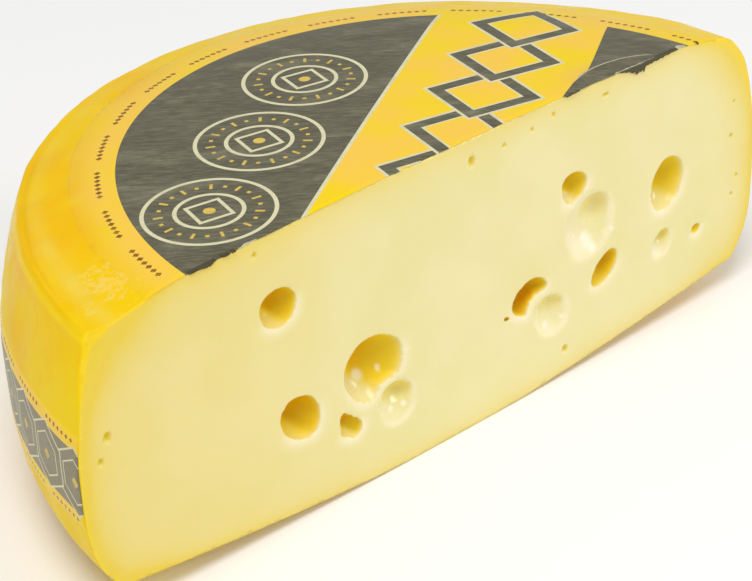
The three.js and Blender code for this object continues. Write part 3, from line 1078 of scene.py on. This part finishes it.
def polygon(centre, radius, sides, turn=0.0):
    angle = np.arange(sides) * 2 * math.pi / sides
    return turned(radius * heading(angle), turn, centre)


def bar(centre, length, width, turn):
    return turned(np.array([(-1, -1), (1, -1), (1, 1), (-1, 1)]) * (length / 2, width / 2), turn, centre)


def outlined(centre, radius, sides, turn, fills):
    """Nested copies of one shape: each fill is how far in it starts and its colour."""
    return [(polygon(centre, radius - step, sides, turn), slot) for step, slot in fills]


def on_ribbon(along, across):
    """Plan point by distance along the yellow band and across it."""
    ahead = heading(math.radians(RIBBON["turn"]))
    return (RIBBON["x"], RIBBON["y"]) + along * ahead + across * np.array([-ahead[1], ahead[0]])


def ribbon(field):
    """The yellow band, and the cream line on its left where it crosses the dark field."""
    reach = 2 * WHEEL_RADIUS
    right = [(along, RIBBON["narrowing"] * along - RIBBON["right"]) for along in (-reach, reach)]
    left, border = RIBBON["left"], RIBBON["left"] + RIBBON["border"]
    along = np.arange(-reach, reach)
    crossed = along[inside(np.array([on_ribbon(a, border) for a in along]), field)]
    first, last = crossed[0] - 1, crossed[-1] + 1
    line = [(first, left), (last, left), (last, border), (first, border)]
    band = [(-reach, left), *right, (reach, left)]
    shapes = [(line, CREAM), (band, YELLOW)]
    return [(np.array([on_ribbon(*at) for at in ends]), slot) for ends, slot in shapes]


def ring_of_print(radius, mean_oval, pitch):
    """Runs of small lozenges all round the label."""
    marks = []
    runs = int(math.pi * radius * (1 + OVAL) / pitch)
    for k in range(runs):
        for along in MARK_STEPS:
            angle = 2 * math.pi * (k + 0.5) / runs + along / (radius * mean_oval)
            at = (FIELD["x"], FIELD["y"]) + radius * (heading(angle) * (1, OVAL))
            marks.append((polygon(at, MARK_SIZE, 4, math.degrees(angle)), BROWN))
    return marks


def roundel(centre, radius, turn):
    """Cream rings round a square, with a ring of gold bars, long and short, between the rings."""
    shapes = outlined(centre, radius, 56, 0, [(0, CREAM), (LINE, DARK)])
    for k in range(BARS):
        angle = 2 * math.pi * k / BARS
        thick, long = (1.1, 3.4) if k % 2 else (1.4, 1.4)
        at = centre + (radius - 6.2) * heading(angle)
        shapes.append((bar(at, thick, long, math.degrees(angle) + 90), GOLD))
    shapes += outlined(centre, radius - 11.0, 44, 0, [(0, CREAM), (LINE, DARK)])
    shapes += outlined(centre, radius - 14.0, 4, turn, [(0, CREAM), (1.9, DARK)])
    shapes += outlined(centre, 2.2, 16, 0, [(0, GOLD)])
    return shapes


def strip_along(curve, half):
    """A thin strip with an open curve as its middle, pointed at its ends."""
    along = np.gradient(curve, axis=0)
    across = points_of(-along[:, 1], along[:, 0])
    across *= half / np.linalg.norm(across, axis=1, keepdims=True)
    across[[0, -1]] *= 0.1
    return np.concatenate([curve - across, (curve + across)[::-1]])


def frayed(start, end):
    """Outline of a stretch of the label's torn front edge that shows pale."""
    x = np.arange(start, end, 0.6)
    front = front_edge(x)
    pale = np.clip(0.15 + 0.8 * noise_at(points_of(x, front, 0), 1.8, 44), 0.02, None)
    pale += sum(wide * bump(x - tip, reach) for tip, wide, reach in TORN_TIPS)
    return np.concatenate([points_of(x, front - 0.5), points_of(x, front + pale)[::-1]])


def top_print():
    """The label's shapes in the order they are laid down, as (outline, colour)."""
    field = ellipse(**FIELD)
    shapes = [(field, DARK)] + ribbon(field)
    for along, across, radius in ROUNDELS:
        shapes += roundel(on_ribbon(along, across), radius, RIBBON["turn"])
    fills = [(0, CREAM), (1.7, DARK), (8.2, CREAM), (9.4, YELLOW)]
    for along in DIAMONDS["along"]:
        shapes += outlined(on_ribbon(along, 0.0), DIAMONDS["radius"], 4, RIBBON["turn"] + 90, fills)
    shapes += ring_of_print(**RING_OF_MARKS)
    # The loose flap is dark in front of its crease, and pale along it
    before_crease = points_of(CREASE[::-1, 0], -1)
    shapes.append((np.concatenate([CREASE, before_crease]), DARK))
    shapes.append((strip_along(CREASE[2:], 0.32), TORN))
    return shapes + [(frayed(*ends), TORN) for ends in FRAYED]


def front_edge(x):
    """Where the label's torn front edge lies behind the cut."""
    space = points_of(x, 0, 0)
    ragged = 0.2 * noise_at(space, 5, 41) + 0.2 * noise_at(space, 1.7, 42) + 0.15 * noise_at(space, 16, 43)
    return np.clip(ragged - 0.1, -0.4, 0.4) + np.interp(x, *TORN_BACK.T)


def flap_lift(x, y, front):
    """The loose corner of the film stands off the coat, folded along its crease."""
    span = (x - CREASE[0, 0]) / (CREASE[-1, 0] - CREASE[0, 0])
    rising = np.sin(math.pi * np.clip(span, 0, 1)) ** 0.8
    crease = np.interp(x, *CREASE.T)
    forward = np.clip((y - front) / np.maximum(crease - front, 0.5), 0, 1)
    before = FRONT_RISE + (1 - FRONT_RISE) * forward
    after = np.exp(-np.clip(y - crease, 0, None) / 4.5)
    return CREASE_RISE * rising * np.where(y > crease, after, before)


def inside_label(points):
    """Distance inside the label's round edge, from above."""
    return LABEL["radius"] - np.hypot(points[:, 0] - LABEL["x"], (points[:, 1] - LABEL["y"]) / OVAL)


def stuck_down(inward):
    """How far a film lies over the coat: its edge is pressed into the wax."""
    return FILM_EDGE_LIFT + (FILM_LIFT - FILM_EDGE_LIFT) * rise(inward, 0, 4)


def on_top(plane):
    """Space points of the label film over plan points."""
    x, y = plane.T
    points = points_of(x, y, top_height(radius_at(plane)))
    points[:, 2] += coat_relief(points) + stuck_down(inside_label(plane)) + flap_lift(x, y, front_edge(x))
    return points


def colour_of(centres, shapes):
    """The colour of the last shape that each point lies in."""
    slots = np.full(len(centres), YELLOW)
    for outline, slot in shapes:
        near = np.nonzero(((centres >= outline.min(0)) & (centres <= outline.max(0))).all(1))[0]
        slots[near[inside(centres[near], outline)]] = slot
    return slots


def divided(outline, step):
    """The outline with points added so that none of its lines is longer than a step."""
    ends = np.roll(outline, -1, axis=0)
    counts = np.maximum(1, np.ceil(np.hypot(*(ends - outline).T) / step)).astype(int)
    parts = [a + (b - a) * (np.arange(n) / n)[:, None] for a, b, n in zip(outline, ends, counts)]
    return np.concatenate(parts)


def printed_sheet(outline, shapes, folds=()):
    """Plane points, triangles and colours of a film with shapes printed on it."""
    points, loops = [outline], [np.arange(len(outline))]
    total = len(outline)
    for whole, _ in shapes:
        shape = divided(whole, PRINT_SPACING)
        if not inside(shape, outline).any():
            continue
        points.append(shape)
        loops.append(total + np.arange(len(shape)))
        total += len(shape)
    grid = hexagonal(outline.min(0), outline.max(0), PRINT_SPACING)
    made, faces, _ = triangles(np.concatenate([*points, grid[inside(grid, outline)], *folds]), loops)
    centres = made[faces].mean(1)
    keep = inside(centres, outline)
    used, faces = used_only(faces[keep])
    return made[used], faces, colour_of(centres[keep], shapes)


def shell(points, normals, faces, slots, thickness):
    """A closed thin sheet: the faces, their copies on the back, and last the walls round its edge,
    whose number is returned too."""
    count = len(points)
    solid = np.concatenate([points, points - thickness * normals])
    sides = {}
    for face, slot in zip(faces, slots):
        for a, b in zip(face, np.roll(face, -1)):
            sides[(a, b)] = slot
    walls = [((b, a, a + count, b + count), slot) for (a, b), slot in sides.items() if (b, a) not in sides]
    back = [tuple(i + count for i in face[::-1]) for face in faces]
    made = [tuple(f) for f in faces] + back + [w for w, _ in walls]
    return solid, made, list(slots) + list(slots) + [s for _, s in walls], len(walls)


def film_materials(dark, shine):
    return [
        yellow_film_material(),
        film("film_dark", dark, PRINT_WORN, shine),
        film("film_cream", PRINT_CREAM, CREAM_WORN),
        film("film_gold", PRINT_GOLD, GOLD_WORN),
        film("film_brown", PRINT_BROWN, BROWN_WORN),
        film("film_torn", TORN_EDGE, PRINT_WORN),
        # Dark print darkened further by painted shade, for the rags.
        film("film_rag_painted_shade", PRINT_IN_PAINTED_SHADE, PRINT_DARK),
    ]


def label_outline():
    """The label from above: its round edge, closed by the torn front."""
    whole = ellipse(**LABEL, count=420)
    arc = whole[whole[:, 1] > 0.6]
    arc = arc[np.argsort(-arc[:, 0])]
    x = np.arange(arc[-1, 0] + 0.3, arc[0, 0] - 0.3, 0.7)
    return np.concatenate([arc, points_of(x, front_edge(x))])


def scrap(spans):
    """A rag of film that starts under the label's front edge and bends down over the cut."""
    x = np.arange(spans[0][0], spans[-1][0], 0.35)
    front = points_of(x, 0, 0)
    jag = 1 + 0.5 * noise_at(front, 1.1, 51) + 0.35 * noise_at(front, 4, 52)
    depth = np.maximum(np.interp(x, *np.array(spans).T) * jag, 0.02)
    front[:, 2] = top_height(radius_at(front))
    top = front[:, 2] + coat_relief(front) + FILM_LIFT
    curl = 0.2 + 0.25 * noise_at(front, 3, 53)
    rows = np.linspace(0, 1, 8)[:, None]
    down = np.clip((rows - 0.25) / 0.75, 0, 1)
    # A quarter of its rows lie flat over the cut's edge, the rest hang
    z = top + 0.1 - (depth + 0.3) * down
    y = 1.1 - 5.2 * np.minimum(rows, 0.25) - 0.25 * rise(down, 0, 0.3) - curl * down**2
    a, b, c, d = cells(np.arange(len(rows) * len(x)).reshape(len(rows), len(x)))
    return points_of(x, y, z).reshape(-1, 3), [*zip(a, d, c), *zip(a, c, b)]


def build_top_film():
    plane, faces, slots = printed_sheet(label_outline(), top_print(), [CREASE])
    points, faces, slots, walls = shell(on_top(plane), np.array([0, 0, 1.0]), faces, slots, FILM_THICKNESS)
    flat = range(len(faces) - walls, len(faces))
    for spans in SCRAPS:
        rag, rag_faces = scrap(spans)
        # The rags are dark print, darker still with painted shade.
        back = [SHADED_RAG] * len(rag_faces)
        rag, rag_faces, rag_slots, _ = shell(rag, np.array([0, -0.7, 0.7]), rag_faces, back, 0.15)
        faces += [tuple(i + len(points) for i in f) for f in rag_faces]
        points = np.concatenate([points, rag])
        slots += rag_slots
    values = coat_values(points) | {"fringe": 1 - rise(inside_label(points), 0, 12)}
    piece = make_mesh("top_film", points, faces, film_materials(PRINT_DARK, 0.25), slots, values, flat)
    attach(piece, "root")
    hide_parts("top_label")


# Side print, laid out by distance round the wheel and height
BAND_DARK = dict(low=47.5, high=71.5)
HEXAGON_PITCH = 21.0
BAND_MARK_ROWS = (74.6, 44.3)
BAND_MARK_PITCH = 27.0
BAND_MARK_SIZE = 0.9


def band_angles():
    """Turning angles round the side and their distances from the left end of the cut."""
    first = math.asin((CUT_BEHIND_CENTRE + 0.3) / (OVAL * side_radius(BAND["low"])))
    turn = np.linspace(math.pi - first, first, 400)
    return turn, travelled(on_wheel(WHEEL_RADIUS, turn, BELLY_HEIGHT)[:, :2])


def side_print(length):
    """Hexagons along a dark stripe, with runs of small lozenges over and under it."""
    low, high = BAND_DARK["low"], BAND_DARK["high"]
    shapes = [(np.array([(-9, low), (length + 9, low), (length + 9, high), (-9, high)]), DARK)]
    fills = [(0, CREAM), (0.8, DARK), (4.6, CREAM), (5.2, DARK)]
    for k in range(int(length / HEXAGON_PITCH) + 2):
        at = (k * HEXAGON_PITCH + 3, (low + high) / 2)
        shapes += outlined(at, 13.6, 6, 90, fills)
        shapes += outlined(at, 2.2, 4, 0, [(0, GOLD)])
    for row in BAND_MARK_ROWS:
        for k in range(int(length / BAND_MARK_PITCH) + 1):
            middle = (k + 0.5) * BAND_MARK_PITCH
            shapes += [(polygon((middle + along, row), BAND_MARK_SIZE, 4), BROWN) for along in MARK_STEPS]
    return shapes


def build_side_film():
    turn, distance = band_angles()
    length = distance[-1]
    low, high = BAND["low"], BAND["high"]
    along = np.linspace(0, length, 260)
    up = np.linspace(low, high, 16)
    outline = np.concatenate([
        points_of(along, low),
        points_of(length, up[1:-1]),
        points_of(along[::-1], high),
        points_of(0, up[-2:0:-1]),
    ])
    plane, faces, slots = printed_sheet(outline, side_print(length))
    angle = np.interp(plane[:, 0], distance, turn)
    points = on_wheel(side_radius(plane[:, 1]), angle, plane[:, 1])
    out = points_of(np.cos(angle), np.sin(angle) / OVAL, 0)
    out /= np.linalg.norm(out, axis=1, keepdims=True)
    inward = np.minimum(points[:, 2] - low, high - points[:, 2])
    points = points + out * (coat_relief(points) + stuck_down(inward))[:, None]
    points[:, 1] = np.maximum(points[:, 1], 0.1)
    faces = [f[::-1] for f in faces]
    points, faces, slots, walls = shell(points, out, faces, slots, FILM_THICKNESS)
    values = coat_values(points) | {"fringe": np.tile(1 - rise(inward, 0, 3), 2)}
    flat = range(len(faces) - walls, len(faces))
    piece = make_mesh("side_film", points, faces, film_materials(SIDE_DARK, 0.5), slots, values, flat)
    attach(piece, "root")
    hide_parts("side_label")


# ---- Stage -----------------------------------------------------------------------------------

LIT_POINT = (0, 0, 0.06)
CAMERA = dict(
    lens=117.874, azimuth=-42.30, elevation=32.795, distance=0.89313, aim=(-0.013158, -0.054510, 0.055)
)


def build_floor():
    bpy.ops.mesh.primitive_plane_add(size=12)
    floor = bpy.context.object
    floor.name = "floor"
    s = Shader("floor", 0.7)
    s.colour(FLOOR_WHITE)
    floor.data.materials.append(s.material)


def area_light(name, place_at, size, power):
    data = bpy.data.lights.new(name, "AREA")
    data.shape = "DISK"
    data.size = size
    data.energy = power
    light = bpy.data.objects.new(name, data)
    light.location = place_at
    light.rotation_euler = (Vector(LIT_POINT) - Vector(place_at)).to_track_quat("-Z", "Y").to_euler()
    bpy.context.scene.collection.objects.link(light)


def build_studio():
    world = bpy.data.worlds.new("studio")
    bpy.context.scene.world = world
    world.use_nodes = True
    background = world.node_tree.nodes["Background"]
    background.inputs["Color"].default_value = (1, 1, 1, 1)
    background.inputs["Strength"].default_value = 0.5
    area_light("key", (-0.8, -0.6, 2.2), 1.2, 29)
    area_light("fill", (1.2, -1.1, 0.75), 0.5, 7)
    bpy.context.scene.view_settings.view_transform = "Standard"


def build_camera():
    data = bpy.data.cameras.new("camera")
    data.lens = CAMERA["lens"]
    data.sensor_width = 36.0
    data.clip_start, data.clip_end = 0.05, 30
    camera = bpy.data.objects.new("camera", data)
    azimuth, elevation = math.radians(CAMERA["azimuth"]), math.radians(CAMERA["elevation"])
    level = math.cos(elevation)
    back = Vector((math.sin(azimuth) * level, -math.cos(azimuth) * level, math.sin(elevation)))
    camera.location = Vector(CAMERA["aim"]) + back * CAMERA["distance"]
    camera.rotation_euler = (-back).to_track_quat("-Z", "Y").to_euler()
    bpy.context.scene.collection.objects.link(camera)
    bpy.context.scene.camera = camera


build_cheese()
build_top_film()
build_side_film()
build_floor()
build_studio()
build_camera()
